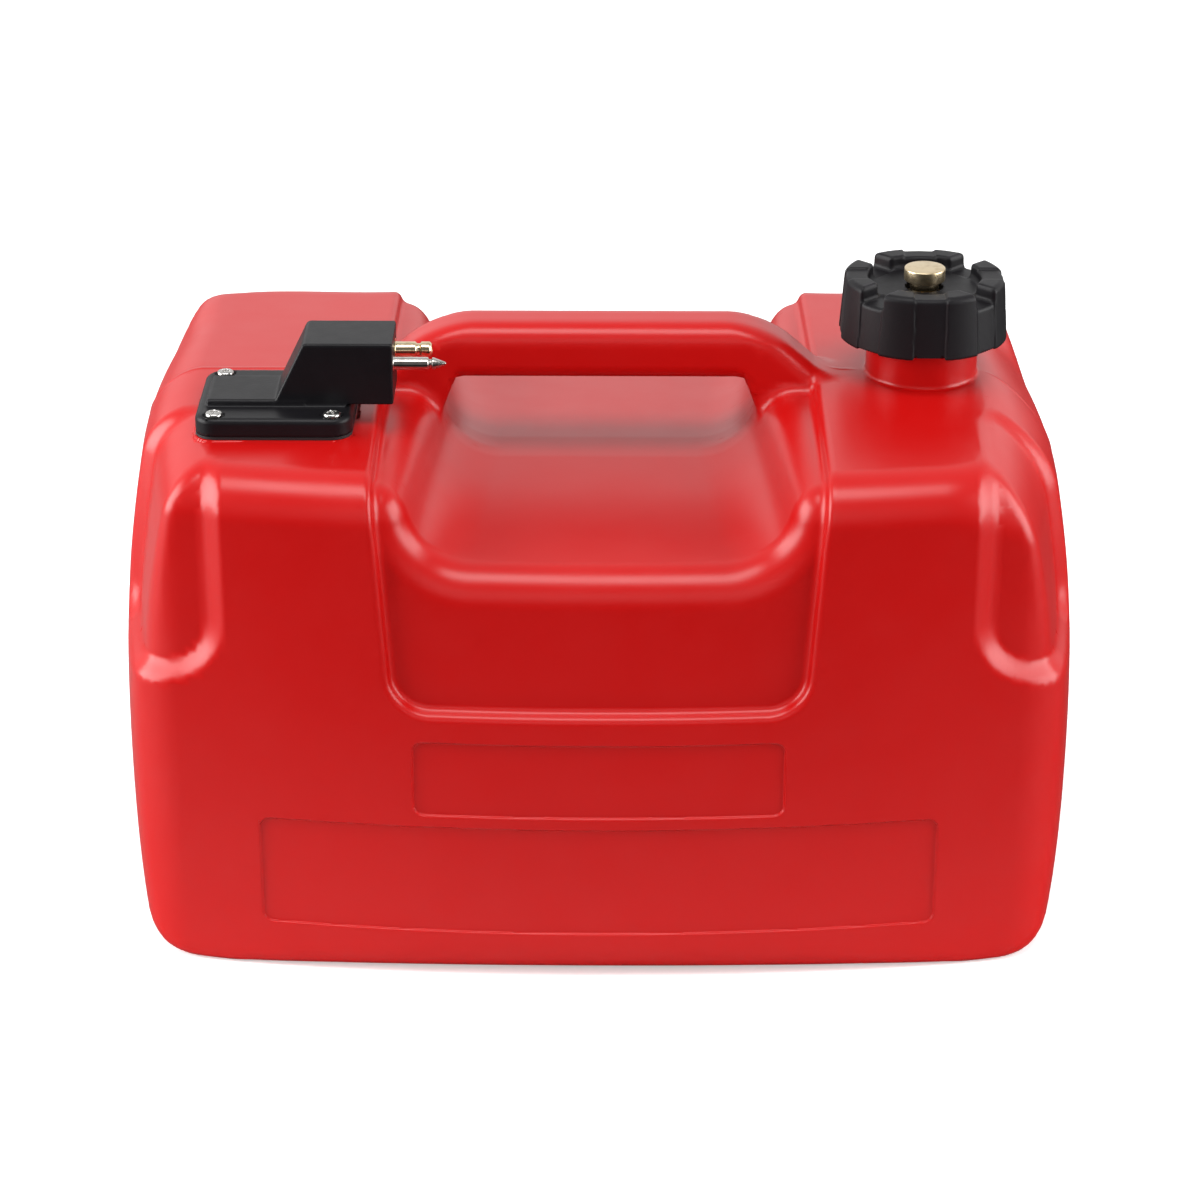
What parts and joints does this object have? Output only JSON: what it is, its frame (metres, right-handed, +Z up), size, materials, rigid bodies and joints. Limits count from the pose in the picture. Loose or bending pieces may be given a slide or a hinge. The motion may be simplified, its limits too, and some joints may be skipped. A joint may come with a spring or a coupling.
{
  "type": "portable fuel tank",
  "caption": "Rigid moulded portable outboard fuel tank with a built-in carrying handle, a vented screw cap on a filler neck and a bolted quick-connect fuel outlet.",
  "frame": {"origin": "on the ground under the middle of the tank, at the bottom centre of its bounding box", "axes": "+X along the tank towards the filler cap, -Y towards the front face with the label seats, +Z up"},
  "size_m": [0.372, 0.238, 0.2428],
  "materials": {
    "red_hdpe": "satin, faintly grained",
    "black_hdpe": "matte, moulded",
    "black_nylon": "fine grained",
    "brass": "turned",
    "steel": "bright",
    "rubber": "matte",
    "natural_nylon": "translucent"
  },
  "bodies": {
    "tank": {"tank_shell": "red_hdpe", "thread_inserts": "brass", "outlet_gasket": "rubber", "outlet_body": "black_nylon", "flange_screws": "steel", "fuel_spigot": "brass", "spigot_oring": "rubber", "lock_pin": "steel", "pickup_barb": "brass", "check_spring": "steel", "pickup_tube": "natural_nylon", "tube_clip": "steel", "strainer_cage": "black_nylon", "strainer_mesh": "natural_nylon"},
    "cap_seal": {"cap_gasket": "rubber"},
    "cap": {"filler_cap": "black_hdpe", "vent_bush": "brass"},
    "vent_washer": {"vent_seal": "rubber"},
    "vent_screw": {"vent_knob": "brass", "vent_clip": "steel"},
    "valve_ball": {"check_ball": "steel"}
  },
  "joints": [
    {"name": "cap_lift", "type": "slide", "parent": "tank", "child": "cap_seal", "axis": [0, 0, 1], "range_m": [0, 0.01]},
    {"name": "cap_turn", "type": "hinge", "parent": "cap_seal", "child": "cap", "pos_m": [0.124, 0, 0.23], "axis": [0, 0, 1], "range_deg": [0, 721]},
    {"name": "vent_lift", "type": "slide", "parent": "cap", "child": "vent_washer", "axis": [0, 0, 1], "range_m": [0, 0.002]},
    {"name": "vent_turn", "type": "hinge", "parent": "vent_washer", "child": "vent_screw", "pos_m": [0.124, 0, 0.24], "axis": [0, 0, 1], "range_deg": [0, 721]},
    {"name": "valve_lift", "type": "slide", "parent": "tank", "child": "valve_ball", "axis": [0, 0, 1], "range_m": [0, 0.002], "stiffness_N_per_m": 40, "springref_m": -0.004, "deforming": ["check_spring"]}
  ],
  "couplings": [
    {"joint": "cap_turn", "follows": "cap_lift", "rad_per_m": 1256.6},
    {"joint": "vent_turn", "follows": "vent_lift", "rad_per_m": 6283.2}
  ]
}
